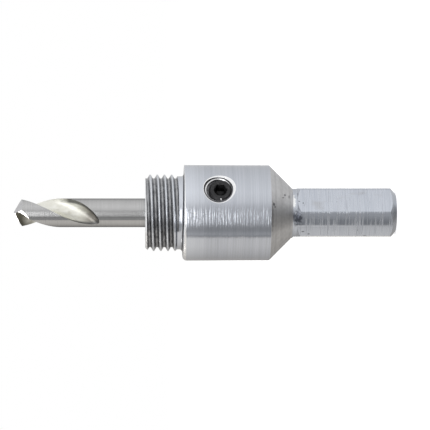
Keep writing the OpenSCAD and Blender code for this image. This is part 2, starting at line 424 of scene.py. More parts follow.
def make_cone_steel():
    material, tree, shader, place = new_metal("cone_steel", anisotropic=0.5)
    rings = noise(tree, place, (30, 30, 2300), detail=4)
    grain = noise(tree, place, (1400, 1400, 1400), detail=4)
    marks = weighted(tree, rings, 0.6, grain)
    shade = spread(tree, marks, 0.35, 0.65, 0.0, 1.0)
    colour = blend_colours(tree, shade, (0.47, 0.47, 0.475, 1), (0.62, 0.62, 0.63, 1))
    colour = add_nicks(tree, place, colour, (
        (3.7, 23.5, (0.30, 0.22)),
        (3.1, 23.9, (0.16, 0.30)),
        (1.65, 26.0, (0.42, 0.26)),
        (1.2, 25.75, (0.26, 0.22)),
        (3.3, 22.6, (0.40, 0.14)),
    ))
    # painted shade: a dark line along the cone's edge to the body, on the camera's side
    painted_edge_shade = calculate(tree, "MULTIPLY", spot(tree, place, -0.6, 26.25, (3.2, 0.3)), 0.45)
    colour = blend_colours(tree, painted_edge_shade, colour, (0.16, 0.16, 0.17, 1))
    tree.links.new(colour, shader.inputs["Base Color"])
    tree.links.new(spread(tree, marks, 0.3, 0.7, 0.40, 0.30), shader.inputs["Roughness"])
    set_bump(tree, shader, marks, 18)
    return material


cone_steel = make_cone_steel()
print("made", cone_steel.name)

# %% [markdown]
# ## Milled steel
#
# The six flats were milled across the bar. The cutter's marks stand straight across each flat,
# close together, and some shine while their neighbours stay dull: so the noise drives the
# roughness more than the colour. Use has left nicks and a smear of oil, and a bright spot near
# the neck is a painted highlight.

# %% Milled steel
def make_milled_steel():
    material, tree, shader, place = new_metal("milled_steel", anisotropic=0.85)
    marks = noise(tree, place, (130, 130, 5000), detail=3)
    stains = noise(tree, place, (260, 260, 120), detail=5)
    shade = spread(tree, marks, 0.35, 0.65, 0.0, 1.0)
    colour = blend_colours(tree, shade, (0.48, 0.51, 0.57, 1), (0.60, 0.63, 0.69, 1))
    dirty = spread(tree, stains, 0.62, 0.75, 0.0, 0.5)
    colour = blend_colours(tree, dirty, colour, (0.36, 0.35, 0.34, 1))
    colour = add_nicks(tree, place, colour, (
        (3.6, 21.9, (0.7, 0.12)),
        (2.4, 20.5, (0.12, 0.25)),
        (2.0, 19.6, (0.14, 0.16)),
        (1.6, 19.4, (0.10, 0.22)),
        (-3.9, 19.6, (0.12, 0.35)),
        (-4.4, 18.4, (0.10, 0.3)),
        (-4.8, 6.7, (0.12, 0.4)),
        (2.3, 12.6, (0.14, 0.09)),
        (-3.6, 8.2, (0.10, 0.10)),
    ))
    oil = calculate(tree, "MULTIPLY", spot(tree, place, -1.05, 20.8, (1.55, 1.5), edge=0.6), 0.9)
    colour = blend_colours(tree, oil, colour, (0.11, 0.12, 0.15, 1))
    # a painted highlight: a near-white spot near the neck
    wear_and_painted_highlight = spot(tree, place, 2.3, 21.5, (1.6, 0.42))
    colour = blend_colours(tree, wear_and_painted_highlight, colour, (0.88, 0.89, 0.90, 1))
    tree.links.new(colour, shader.inputs["Base Color"])
    tree.links.new(spread(tree, marks, 0.51, 0.66, 0.06, 0.55), shader.inputs["Roughness"])
    set_bump(tree, shader, marks, 16)
    return material


milled_steel = make_milled_steel()
print("made", milled_steel.name)

# %% [markdown]
# ## Thread and tapped hole
#
# The flanks are cut in one pass. The groove carries painted shade: the finish is painted
# darker by how far a point lies inside the crests, and the shade is a little lighter towards the
# picture's top.

# %% Thread steel
def make_thread_steel():
    material, tree, shader, place = new_metal("thread_steel")
    grain = noise(tree, place, (900, 900, 2500), detail=4)
    radius = distance_from_axis(tree, place)
    depth = spread(tree, radius, (THREAD_R - 0.4) * MM, THREAD_R * MM, 1.0, 0.0)
    # painted shade: darker towards the bottom of the groove, and less of it towards the picture's top
    painted_groove_shade = calculate(tree, "MULTIPLY", depth, spread(tree, grain, 0.3, 0.7, 0.6, 1.0))
    less_shade_at_top = spread(tree, height_in_picture(tree, place), -3 * MM, 5 * MM, 1.0, 0.78)
    painted_groove_shade = calculate(tree, "MULTIPLY", painted_groove_shade, less_shade_at_top)
    colour = blend_colours(tree, painted_groove_shade, (0.86, 0.88, 0.91, 1), (0.09, 0.09, 0.095, 1))
    tree.links.new(colour, shader.inputs["Base Color"])
    tree.links.new(spread(tree, grain, 0.3, 0.7, 0.24, 0.38), shader.inputs["Roughness"])
    set_bump(tree, shader, grain, 8)
    return material


thread_steel = make_thread_steel()
print("made", thread_steel.name)

# %% [markdown]
# Inside the screw's hole, and in one corner of the shoulder, the metal is painted dark as shade.
# The rims and broken edges are painted near-white as a highlight, and the heels of the drill's
# point are a light, smooth steel.

# %% Steel painted dark as shade, steel painted white as a highlight, and the drill's heels
def make_plain_steel(name, dark, light, smooth, coarse):
    material, tree, shader, place = new_metal(name)
    grain = noise(tree, place, (1800, 1800, 1800), detail=4)
    colour = blend_colours(tree, spread(tree, grain, 0.3, 0.7, 0, 1), dark, light)
    tree.links.new(colour, shader.inputs["Base Color"])
    tree.links.new(spread(tree, grain, 0.3, 0.7, smooth, coarse), shader.inputs["Roughness"])
    set_bump(tree, shader, grain, 5)
    return material


# painted shade: a dark steel for the hole and the shoulder's corner
painted_shade_steel = make_plain_steel(
    "painted_shade_steel", (0.07, 0.07, 0.075, 1), (0.16, 0.16, 0.17, 1), 0.25, 0.4)
# painted highlight: a near-white steel for rims, broken edges and worn corners
painted_highlight_steel = make_plain_steel(
    "painted_highlight_steel", (0.86, 0.87, 0.89, 1), (0.97, 0.97, 0.98, 1), 0.25, 0.4)
heel_steel = make_plain_steel(
    "heel_steel", (0.80, 0.80, 0.81, 1), (0.92, 0.92, 0.93, 1), 0.08, 0.14)
flank_steel = make_plain_steel(
    "flank_steel", (0.60, 0.60, 0.61, 1), (0.70, 0.70, 0.71, 1), 0.3, 0.4)
print("made", ", ".join(made.name for made in (painted_shade_steel, painted_highlight_steel, heel_steel, flank_steel)))

# %% [markdown]
# ## Ground high speed steel
#
# The drill is harder steel, ground instead of turned: smoother, and a little warmer in colour.
# The flutes were ground in one hot pass, which leaves a pale straw tint. Painted shade makes the
# run-out dull and grey, draws a dark line along the flute's edge there, lays two dark patches in
# the flute, and turns the flute next to the point dark brown.

# %% Ground steel for the drill's outside, and for its flutes
def make_ground_steel():
    material, tree, shader, place = new_metal("ground_steel", anisotropic=0.75)
    marks = noise(tree, place, (40, 40, 5200))
    cloud = noise(tree, place, (200, 200, 200))
    shade = weighted(tree, marks, 0.7, cloud)
    light = spread(tree, shade, 0.3, 0.7, 0, 1)
    colour = blend_colours(tree, light, (0.44, 0.44, 0.44, 1), (0.54, 0.54, 0.54, 1))
    tree.links.new(colour, shader.inputs["Base Color"])
    tree.links.new(spread(tree, shade, 0.3, 0.7, 0.20, 0.13), shader.inputs["Roughness"])
    set_bump(tree, shader, marks, 9)
    # seen at a flat angle the ground steel stays grey, where a perfect mirror would turn white
    shader.inputs["Specular Tint"].default_value = (0.45, 0.45, 0.45, 1)
    return material


def make_flute_steel():
    material, tree, shader, place = new_metal("flute_steel")
    marks = noise(tree, place, (700, 700, 400), detail=4)
    cloud = noise(tree, place, (330, 330, 160), detail=3)
    light = spread(tree, marks, 0.3, 0.7, 0, 1)
    colour = blend_colours(tree, light, (0.80, 0.79, 0.72, 1), (0.90, 0.90, 0.85, 1))
    straw = spread(tree, cloud, 0.48, 0.66, 0, 0.62)
    colour = blend_colours(tree, straw, colour, (0.52, 0.50, 0.40, 1))
    below_tip = calculate(tree, "SUBTRACT", TIP_Z * MM, height_on_axis(tree, place))
    wobble = spread(tree, marks, 0.3, 0.7, -0.6 * MM, 0.6 * MM)
    below_tip = calculate(tree, "ADD", below_tip, wobble)
    # painted shade: the run-out is darker and grey
    painted_runout_shade = spread(tree, below_tip, 13.2 * MM, 15.8 * MM, 0.0, 0.88)
    colour = blend_colours(tree, painted_runout_shade, colour, (0.25, 0.235, 0.21, 1))
    # painted shade along the flute's edge; it starts further in on the side of the picture's top
    height = height_in_picture(tree, place)
    edge_start = spread(tree, height, -0.6 * MM, 0.6 * MM, 2.35 * MM, 1.90 * MM)
    past_start = calculate(tree, "SUBTRACT", distance_from_axis(tree, place), edge_start)
    on_edge = spread(tree, past_start, 0.0, 0.4 * MM, 0.0, 0.88)
    near_end = spread(tree, below_tip, 9.5 * MM, 11.5 * MM, 0.0, 1.0)
    edge = calculate(tree, "MULTIPLY", on_edge, near_end)
    colour = blend_colours(tree, edge, colour, (0.10, 0.10, 0.10, 1))
    # two patches of painted shade in the flute
    for across, along, size, depth in (
        (0.95, 71.7, (0.42, 1.7), 0.4),
        (0.1, 68.2, (0.5, 0.5), 0.25),
    ):
        painted_shade_patch = spot(tree, place, across, along, size, edge=0.8)
        painted_shade_patch = calculate(tree, "MULTIPLY", painted_shade_patch, depth)
        colour = blend_colours(tree, painted_shade_patch, colour, (0.36, 0.33, 0.24, 1))
    # painted shade: the flute is dark brown next to the point
    painted_point_shade = spread(tree, below_tip, 1.8 * MM, 5.0 * MM, 0.93, 0.0)
    colour = blend_colours(tree, painted_point_shade, colour, (0.085, 0.08, 0.055, 1))
    tree.links.new(colour, shader.inputs["Base Color"])
    tree.links.new(spread(tree, marks, 0.3, 0.7, 0.46, 0.36), shader.inputs["Roughness"])
    set_bump(tree, shader, marks, 10)
    return material


ground_steel = make_ground_steel()
flute_steel = make_flute_steel()
print("made", ground_steel.name, "and", flute_steel.name)

# %% [markdown]
# ## Black oxide
#
# The set screw is alloy steel, blackened in a hot bath and oiled. It isn't paint: the surface
# is a thin dark oxide that still shines a little, and turns grey where a key rubs it. A small white
# spot on it is a painted glint.

# %% Black oxide
def make_black_oxide():
    material, tree, shader, place = new_metal("black_oxide_steel")
    shader.inputs["Metallic"].default_value = 0.6
    grain = noise(tree, place, (2600, 2600, 2600), detail=5)
    wear_and_painted_highlight = spread(tree, grain, 0.58, 0.75, 0.0, 0.6)
    colour = blend_colours(tree, wear_and_painted_highlight, (0.028, 0.028, 0.030, 1), (0.12, 0.12, 0.12, 1))
    # a painted glint: a near-white spot on the screw
    painted_glint = spot(tree, place, 2.75, 36.85, (0.24, 0.16))
    colour = blend_colours(tree, painted_glint, colour, (0.95, 0.95, 0.95, 1))
    tree.links.new(colour, shader.inputs["Base Color"])
    tree.links.new(spread(tree, grain, 0.3, 0.7, 0.34, 0.50), shader.inputs["Roughness"])
    set_bump(tree, shader, grain, 8)
    return material


black_oxide = make_black_oxide()
print("made", black_oxide.name)

# %% [markdown]
# ## The arbor's body
#
# The blank is one outline turned round the axis: the bar for the shank, a short neck, the
# cone, the thick body, an undercut where the thread tool stops, and the spigot.

# %% Outline of the turned blank
SHANK_AF = 10.0
CORNER_TRIM = 0.08
END_FACE_R = 4.0
END_CHAMFER = math.radians(40)
NECK_R = 5.08
NECK_L = 0.8
NECK_CHAMFER = math.radians(42)
BODY_L = 17.97
SHOULDER_CHAMFER = 0.6
SHOULDER_LEAN = 0.22
UNDERCUT_R = 7.65
UNDERCUT_W = 1.3
LEAD_IN = 0.7

bar_r = SHANK_AF / math.sqrt(3) - CORNER_TRIM
end_chamfer_z = (bar_r - END_FACE_R) * math.tan(END_CHAMFER)
cone_top_z = SHOULDER_Z - BODY_L
cone_root_z = cone_top_z - (BODY_R - NECK_R)
neck_z = cone_root_z - NECK_L
hex_top_z = neck_z - (bar_r - NECK_R) / math.tan(NECK_CHAMFER)
blank_outline = [
    (0, 0),
    (END_FACE_R, 0, 0.12),
    (bar_r, end_chamfer_z),
    (bar_r, hex_top_z),
    (NECK_R, neck_z),
    (NECK_R, cone_root_z, 1.6),
    (BODY_R, cone_top_z, 0.12),
]
# rings along the body keep its faces small, which keeps the shading smooth round the hole
BODY_RINGS = 30
body_top_z = SHOULDER_Z - SHOULDER_CHAMFER
for k in range(1, BODY_RINGS):
    blank_outline.append((BODY_R, cone_top_z + (body_top_z - cone_top_z) * k / BODY_RINGS))
blank_outline += [
    (BODY_R, SHOULDER_Z, SHOULDER_CHAMFER),
    (UNDERCUT_R, SHOULDER_Z, 0.7),
    (UNDERCUT_R, SHOULDER_Z + UNDERCUT_W),
    (THREAD_R, SHOULDER_Z + UNDERCUT_W + THREAD_R - UNDERCUT_R),
    (THREAD_R, FRONT_Z - LEAD_IN),
    (THREAD_R - LEAD_IN, FRONT_Z, 0.06),
    (0, FRONT_Z),
]
blank = lathe(blank_outline)
print(f"blank: {len(blank.faces)} faces")

# %% [markdown]
# The real arbor isn't quite true. Its shoulder leans a little, and its edge was broken off
# centre, wide on one side and almost nothing on the other, and so is the fillet behind the neck.
# Moving the points near a corner towards it on one side, and away from it or not at all on the
# other, gives just that.

# %% Corners that were cut off centre
def scale_corner(made, radius, z, reach, upper, lower):
    """Scales what lies within reach of a turned corner about it, by the factor upper on the
    side that is the picture's top and by lower on the other side."""
    for vertex in made.verts:
        across = vertex.co.xy.length
        if max(abs(across - radius), abs(vertex.co.z - z)) > reach:
            continue
        share = 0.5 + 0.5 * vertex.co.xy.dot(PICTURE_UP) / across
        size = lower + (upper - lower) * share
        vertex.co.xy *= (radius + (across - radius) * size) / across
        vertex.co.z = z + (vertex.co.z - z) * size


def lean_shoulder(made):
    """Leans the shoulder a little: back on the picture's top side, forward on the other."""
    for vertex in made.verts:
        across = vertex.co.xy.length
        if across > UNDERCUT_R + 0.01 and abs(vertex.co.z - SHOULDER_Z) < 0.8:
            vertex.co.z -= SHOULDER_LEAN * (0.15 + 0.85 * vertex.co.xy.dot(PICTURE_UP) / across)


scale_corner(blank, BODY_R, SHOULDER_Z, 0.75, 0.08, 1.5)
lean_shoulder(blank)
scale_corner(blank, NECK_R, cone_root_z, 0.69, 0.25, 1.0)

# %% [markdown]
# One turned blank has several finishes, and each face gets its own by where it lies. The broken
# edge of the shoulder and the start of the spigot are painted near-white as a highlight. In the
# corner where the shoulder dips to the undercut, a dark line of painted shade is drawn.

# %% Give each part of the blank its finish
BRIGHT_RIM = 0.8


def blank_finish(centre, normal):
    """The steel of one face of the blank."""
    across = centre.xy.length
    if cone_root_z + 0.1 < centre.z < cone_top_z - 0.05:
        return cone_steel
    if 0.2 < centre.z <= cone_root_z + 0.1:
        return milled_steel
    at_edge = across > BODY_R - BRIGHT_RIM or centre.z > FRONT_Z - LEAD_IN
    # painted highlight on the broken edge of the shoulder and the start of the spigot
    if 0.15 < normal.z < 0.95 and at_edge:
        return painted_highlight_steel
    # painted shade: a dark line in the corner between the shoulder and the undercut
    in_corner = UNDERCUT_R < across < BODY_R - BRIGHT_RIM and centre.z < FRONT_Z - 1
    if 0.6 < normal.z < 0.999 and in_corner:
        return painted_shade_steel
    return turned_steel


finishes = [turned_steel, cone_steel, milled_steel, painted_highlight_steel, painted_shade_steel]
arbor = add_piece("arbor_body_fine", blank, finishes[0])
for steel in finishes[1:]:
    arbor.data.materials.append(steel)
for face in arbor.data.polygons:
    face.material_index = finishes.index(blank_finish(face.center, face.normal))
print(f"{arbor.name}: {len(finishes)} finishes on {len(arbor.data.polygons)} faces")

# %% [markdown]
# The flats come next. A hexagon that widens into a big plate above the shank is kept in common
# with the blank, so that the six flats appear and the round body stays untouched. Where the
# cone above the corners meets the flats, curved edges appear by themselves, as on the real one.
# Polishing has made each flat a little round, which decides what it reflects, and has worn the
# corners between them to narrow faces, painted near-white as a highlight.

# %% Mill the hexagon
FLAT_CROWN = math.radians(4)
FLAT_STEPS = 8
# the share of each flat that is left between its worn corners
WORN = 0.95
HEX_OFF_CENTRE = 0.06
PLATE_SIZE = 5
PLATE_TOP_Z = 60
half_flat = SHANK_AF / 2 * math.tan(math.radians(30))
crown_r = half_flat / math.sin(FLAT_CROWN)
flats_top_z = cone_root_z - 0.1


def crowned_hexagon():
    """Points of a hexagon with worn corners. Its flats are arcs that rise in the middle."""
    points = []
    for side in range(6):
        for k in range(FLAT_STEPS + 1):
            lean = WORN * FLAT_CROWN * (2 * k / FLAT_STEPS - 1)
            across = crown_r * math.sin(lean)
            out = SHANK_AF / 2 + crown_r * (math.cos(lean) - math.cos(FLAT_CROWN))
            turn = Matrix.Rotation(math.radians(30 + 60 * side), 2)
            points.append(turn @ Vector((out, across)) + HEX_OFF_CENTRE * PICTURE_UP)
    return points


def hexagon_template():
    made = bmesh.new()
    points = crowned_hexagon()
    rings = [
        [made.verts.new((*(point * size), z)) for point in points]
        for size, z in (
            (1, -1), (1, flats_top_z), (PLATE_SIZE, flats_top_z), (PLATE_SIZE, PLATE_TOP_Z))
    ]
    count = len(points)
    for low, high in zip(rings, rings[1:]):
        for k in range(count):
            face = made.faces.new((low[k], low[(k + 1) % count], high[(k + 1) % count], high[k]))
            # the face that joins two flats is a worn corner, in the hexagon's second steel, painted
            # near-white as a highlight
            face.material_index = int(k % (FLAT_STEPS + 1) == FLAT_STEPS)
    made.faces.new(rings[0])
    made.faces.new(rings[-1])
    return made


hexagon = add_piece("hexagon", hexagon_template(), milled_steel)
hexagon.data.materials.append(painted_highlight_steel)
cut(arbor, hexagon, "INTERSECT")

# %% [markdown]
# The saw screws on the spigot. Its thread is a standard one, 16 mm across and 1.5 mm from crest
# to crest, and it is one helix, cut from the undercut to past the end. CREST_Z and CREST_ANGLE
# say where one crest lies in the photograph, so that all the others fall into place.

# %% Cut the thread of the spigot
PITCH = 1.5
GROOVE_R = 7.2
GROOVE_TIP_W = 0.36
CREST_Z = FRONT_Z - 2.5
CREST_ANGLE = math.radians(330)
THREAD_TURNS = 7
ENTRY_TURN = 0.3


def spigot_depth(turn):
    """Share of the full depth: next to the undercut the tool comes in over part of a turn."""
    return min(1.0, turn / ENTRY_TURN)


groove_start = SHOULDER_Z + 0.95
groove_phase = CREST_ANGLE + math.tau * (groove_start - CREST_Z + PITCH / 2) / PITCH
cut(arbor, add_piece("spigot_groove", thread_cutter(
    GROOVE_R, THREAD_R, GROOVE_TIP_W, PITCH, groove_start, THREAD_TURNS, groove_phase,
    spigot_depth), thread_steel))

# %% [markdown]
# The pilot drill sits in a blind bore with the cone of a common drill at its end, a little wider
# than its shank so that it slides. The mouth is chamfered.

# %% Bore for the drill
HOLE_STEPS = 96
BORE_R = 3.05
BORE_Z = DRILL_END_Z - 0.2
POINT_HALF = math.radians(59)
bore = lathe([
    (0, BORE_Z - BORE_R / math.tan(POINT_HALF)),
    (BORE_R, BORE_Z),
    (BORE_R, FRONT_Z - 0.3),
    (BORE_R + 1.3, FRONT_Z + 1),
    (0, FRONT_Z + 1),
], steps=HOLE_STEPS)
cut(arbor, add_piece("bore", bore, turned_steel))

# %% [markdown]
# ## The tapped hole
#
# The set screw's hole is drilled to the thread's inner diameter, and the tap cuts its V into
# the wall: the same helix cutter does this, with the V pointing outwards. The mouth is wider.
# Its drill and the countersink on its rim both stood a little off the screw's axis, so that a
# crescent of painted shade shows on one side of the screw and a rim of painted highlight on the
# other. The walls of the hole are painted dark as shade, and the bevel inside it near-white as a
# highlight.

# %% Drill and tap the hole in the side
FINE_THREAD_STEPS = 64
SCREW_PITCH = 0.8
TAP_DRILL_R = 2.1
TAP_R = 2.5
TAP_START = 1.2
MOUTH_R = 3.05
MOUTH_FLOOR = 8.8
MOUTH_OFFSET = 0.45
STEP_R = 2.5
STEP_FLOOR = 9.25
STEP_BEVEL = 0.2
STEP_ASIDE = 0.14
RIM_WIDTH = 0.12
RIM_EXTRA = 0.5
RIM_SIDE = math.radians(-60)
RIM_SLOPE = math.tan(math.radians(24))
to_screw = Matrix.Translation((0, 0, SCREW_Z)) @ Matrix.Rotation(math.radians(90), 4, "X")


def on_screw_axis(made, aside=0, ahead=0):
    """Lays what was made round Z along the screw's axis, moved along X and towards the thread."""
    made.transform(Matrix.Translation((aside, 0, ahead)) @ to_screw)
    return made


def rim_cutter(steps=HOLE_STEPS):
    """A shallow cone that follows the round body, and cuts wider on the side RIM_SIDE."""
    made = bmesh.new()
    rings = []
    for reach in (-1.0, 1.0):
        ring = []
        for k in range(steps):
            angle = math.tau * k / steps
            x, y = MOUTH_R * math.cos(angle), MOUTH_R * math.sin(angle)
            surface = math.sqrt(BODY_R ** 2 - x * x)
            width = RIM_WIDTH + RIM_EXTRA * (0.5 + 0.5 * math.cos(angle - RIM_SIDE)) ** 2
            height = surface - reach * x / surface * math.cos(angle) + (reach - width) * RIM_SLOPE
            size = 1 + reach / MOUTH_R
            ring.append(made.verts.new((x * size, y * size, height)))
        rings.append(ring)
    low, high = rings
    for k in range(steps):
        made.faces.new((low[k], low[(k + 1) % steps], high[(k + 1) % steps], high[k]))
    for ring, height in zip(rings, (MOUTH_FLOOR - 0.5, BODY_R + 2)):
        middle = made.verts.new((0, 0, height))
        for k in range(steps):
            made.faces.new((ring[k], ring[(k + 1) % steps], middle))
    return made


# the rim is painted near-white as a highlight
cut(arbor, add_piece("rim", on_screw_axis(rim_cutter(), 0, MOUTH_OFFSET), painted_highlight_steel))
# the mouth and the step are painted dark as shade, the bevel near-white as a highlight
for name, material, aside, corners in (
    ("mouth", painted_shade_steel, 0, [(0, STEP_FLOOR), (MOUTH_R, STEP_FLOOR), (MOUTH_R, BODY_R + 1)]),
    ("bevel", painted_highlight_steel, STEP_ASIDE, [
        (0, STEP_FLOOR - 0.6 * STEP_BEVEL), (STEP_R, STEP_FLOOR - 0.6 * STEP_BEVEL),
        (STEP_R + 2 * STEP_BEVEL, STEP_FLOOR + 0.6 * STEP_BEVEL)]),
    ("step", painted_shade_steel, STEP_ASIDE, [
        (0, MOUTH_FLOOR), (STEP_R, MOUTH_FLOOR), (STEP_R, STEP_FLOOR)]),
):
    made = lathe(corners + [(0, corners[-1][1])], steps=HOLE_STEPS)
    cut(arbor, add_piece(name, on_screw_axis(made, aside, MOUTH_OFFSET), material))
# the drilled and tapped walls are painted dark as shade
hole = lathe(
    [(0, 0), (TAP_DRILL_R, 0), (TAP_DRILL_R, BODY_R + 1), (0, BODY_R + 1)], steps=HOLE_STEPS)
cut(arbor, add_piece("hole", on_screw_axis(hole), painted_shade_steel))
tap = thread_cutter(
    TAP_R, TAP_DRILL_R, 0.1, SCREW_PITCH, TAP_START, 11, 0, steps=FINE_THREAD_STEPS)
cut(arbor, add_piece("tap", on_screw_axis(tap), painted_shade_steel))

# %% [markdown]
# ## The pilot drill
#
# A twist drill has two helical flutes. Seen square to the axis, a flute's outline has two
# parts. The rake face, in front of the cutting lip, is curved just so that the lip comes out
# straight on the cone of the point. The rest is an arc that clears the chips and ends at the
# heel of the next land. The cutter is this outline swept down the helix and lifted out at the
# end, as the grinding wheel does.

# %% Numbers of the drill
LEAD = 37.0
LAND = math.radians(78)
WEB_R = 0.55
LIP_TURN = math.radians(308)
LIP_RELIEF = math.radians(12)
RIDGE_BACK = math.radians(54)
RIDGE_OFFSET = 0.24
HEEL_RELIEF = math.radians(45)
FLUTE_L = 16.3
RUNOUT_L = 7.0

flute_angle = math.pi - LAND
turn_rate = math.tau / LEAD
cone_fall = 1 / math.tan(POINT_HALF)
lip_fall = math.tan(LIP_RELIEF) / math.sin(POINT_HALF)
corner_z = TIP_Z + WEB_R * lip_fall - DRILL_R * cone_fall
flute_end_z = corner_z - FLUTE_L
runout_z = flute_end_z + RUNOUT_L
print(f"drill: lip corner at {corner_z:.2f} mm, flutes end at {flute_end_z:.2f} mm")

# %% The flute's outline
def rake_angle(radius):
    """Angle of the rake face at a radius, measured from the lip's corner."""
    straight = math.asin(WEB_R / radius) - math.asin(WEB_R / DRILL_R)
    return straight - turn_rate * (DRILL_R - radius) / math.tan(POINT_HALF)


def flute_outline(rake_steps=10, arc_steps=30):
    middle = 0.55 * flute_angle
    heel_cos = math.cos(flute_angle - middle)
    arc_r = (DRILL_R ** 2 - 2 * WEB_R * DRILL_R * heel_cos + WEB_R ** 2) / (
        2 * (DRILL_R * heel_cos - WEB_R))
    centre = (WEB_R + arc_r) * Vector((math.cos(middle), math.sin(middle)))
    heel = DRILL_R * Vector((math.cos(flute_angle), math.sin(flute_angle))) - centre
    sweep = math.radians(270 + 14) - math.atan2(heel.y, heel.x)
    points = []
    for k in range(rake_steps + 1):
        radius = 1.25 * DRILL_R + (centre.x - 1.25 * DRILL_R) * k / rake_steps
        angle = rake_angle(radius)
        points.append(radius * Vector((math.cos(angle), math.sin(angle))))
    for k in range(1, arc_steps + 1):
        angle = -math.pi / 2 - sweep * k / arc_steps
        points.append(centre + arc_r * Vector((math.cos(angle), math.sin(angle))))
    for share in (2 / 3, 1 / 3):
        angle = share * flute_angle
        points.append(1.3 * DRILL_R * Vector((math.cos(angle), math.sin(angle))))
    return points


print(f"flute outline: {len(flute_outline())} points")

# %% Sweep the outline and grind both flutes
def flute_cutter(side, steps=110):
    """The wheel's path for one flute. It rises out of the drill over the run-out."""
    made = bmesh.new()
    outline = flute_outline()
    top = TIP_Z + 1
    lift_angle = 0.45 * flute_angle
    rings = []
    for k in range(steps + 1):
        z = top + (flute_end_z - top) * k / steps
        lifted = (DRILL_R - WEB_R + 0.1) * max(0.0, (runout_z - z) / RUNOUT_L) ** 2
        shift = lifted * Vector((math.cos(lift_angle), math.sin(lift_angle)))
        turn = Matrix.Rotation(side + LIP_TURN + turn_rate * (z - corner_z), 2)
        rings.append([made.verts.new((*(turn @ (point + shift)), z)) for point in outline])
    count = len(outline)
    for low, high in zip(rings, rings[1:]):
        for k in range(count):
            made.faces.new((low[k], low[(k + 1) % count], high[(k + 1) % count], high[k]))
    made.faces.new(rings[0])
    made.faces.new(rings[-1])
    return made


drill_outline = [(0, DRILL_END_Z), (DRILL_R, DRILL_END_Z, 0.4)]
DRILL_RINGS = 60
for k in range(1, DRILL_RINGS + 1):
    drill_outline.append((DRILL_R, DRILL_END_Z + 0.5 + (TIP_Z + 0.5 - DRILL_END_Z) * k / DRILL_RINGS))
drill_outline.append((0, TIP_Z + 1))
drill = add_piece("pilot_drill_fine", lathe(drill_outline, steps=144), ground_steel)
for side in (0, math.pi):
    cut(drill, add_piece("flute", flute_cutter(side), flute_steel))

# %% [markdown]
# The point is ground with four flat cuts: one behind each lip, and a steeper one down to each
# heel. Each cut removes everything above a plane, so its cutter is a plain slab.

# %% Grind the point
SLAB_SIZE = 12


def flank_height(x, y):
    """Height of the lip's plane over the point (x, y), with the lip along X."""
    return TIP_Z + lip_fall * y - cone_fall * x


def grinding_slab(x, y, direction, fall, relief, side):
    """A slab whose underside passes through (x, y). It falls along direction and tilts by
    relief across it."""
    made = bmesh.new()
    bmesh.ops.create_cube(
        made, size=SLAB_SIZE, matrix=Matrix.Translation((0, 0, SLAB_SIZE / 2)))
    lip_angle = LIP_TURN - math.asin(WEB_R / DRILL_R) + side
    made.transform(
        Matrix.Rotation(lip_angle, 4, "Z")
        @ Matrix.Translation((x, y, flank_height(x, y)))
        @ Matrix.Rotation(direction, 4, "Z")
        @ Matrix.Rotation(math.atan(fall), 4, "Y")
        @ Matrix.Rotation(relief, 4, "X")
    )
    return made


ridge = math.asin(WEB_R / DRILL_R) - RIDGE_BACK
ridge_fall = cone_fall * math.cos(ridge) - lip_fall * math.sin(ridge)
ridge_x, ridge_y = RIDGE_OFFSET * math.sin(ridge), -RIDGE_OFFSET * math.cos(ridge)
for side in (0, math.pi):
    cut(drill, add_piece("lip_flank", grinding_slab(
        0, 0, 0, cone_fall, LIP_RELIEF, side), flank_steel))
    cut(drill, add_piece("heel_flank", grinding_slab(
        ridge_x, ridge_y, ridge, ridge_fall, HEEL_RELIEF, side), heel_steel))

# %% [markdown]
# ## The set screw
#
# A socket set screw: a threaded rod with bevelled ends, a hexagonal socket in one end and a
# cup point in the other, which bites into the drill. Its groove is the hole's, moved on by half
# a pitch, so that each crest lies in a groove. It stops 0.7 mm short of the socket's end, and
# there the full rod reaches up to a third of a millimetre into the thread of the hole. That
# isn't true to the real one, and doesn't show.

# %% Turn, thread and broach the set screw
SOCKET_AF = 2.5
SOCKET_DEPTH = 2.8
CUP_R = 1.2
SCREW_ROOT_R = 2.03
screw = add_piece("set_screw_fine", on_screw_axis(lathe([
    (0, SCREW_CUP + CUP_R / 2),
    (CUP_R, SCREW_CUP),
    (CUP_R + 0.2, SCREW_CUP, 0.05),
    (SCREW_R - 0.02, SCREW_CUP + SCREW_R - CUP_R - 0.22, 0.1),
    (SCREW_R - 0.02, SCREW_FACE - 0.35, 0.05),
    (SCREW_R - 0.37, SCREW_FACE, 0.05),
    (0, SCREW_FACE),
], steps=HOLE_STEPS)), black_oxide)
outer_groove = thread_cutter(
    SCREW_ROOT_R, SCREW_R, 0.1, SCREW_PITCH, TAP_START + SCREW_PITCH / 2, 9, 0,
    steps=FINE_THREAD_STEPS)
cut(screw, add_piece("screw_groove", on_screw_axis(outer_groove), black_oxide))


def socket_cutter():
    """A hexagon with a drilled cone at its bottom."""
    made = bmesh.new()
    corner_r = SOCKET_AF / math.sqrt(3)
    bottom = SCREW_FACE - SOCKET_DEPTH
    tip = made.verts.new((0, 0, bottom - 0.6))
    rings = [
        [
            made.verts.new((
                corner_r * math.cos(math.radians(30 + 60 * k)),
                corner_r * math.sin(math.radians(30 + 60 * k)),
                z,
            ))
            for k in range(6)
        ]
        for z in (bottom, SCREW_FACE + 1)
    ]
    low, high = rings
    for k in range(6):
        made.faces.new((low[k], low[(k + 1) % 6], high[(k + 1) % 6], high[k]))
        made.faces.new((tip, low[(k + 1) % 6], low[k]))
    made.faces.new(high)
    return made


cut(screw, add_piece("socket", on_screw_axis(socket_cutter()), black_oxide))
countersink = lathe([
    (0, SCREW_FACE - 0.2),
    (SOCKET_AF / 2, SCREW_FACE - 0.2),
    (SOCKET_AF / 2 + 0.4, SCREW_FACE + 0.2),
    (0, SCREW_FACE + 0.2),
], steps=HOLE_STEPS)
cut(screw, add_piece("countersink", on_screw_axis(countersink), black_oxide))

# %% [markdown]
# ## Finish the pieces
#
# The meshes are shrunk from millimetres to metres, edges steeper than 22 degrees stay sharp,
# and each piece takes the place of its CAD solid and moves with its body.

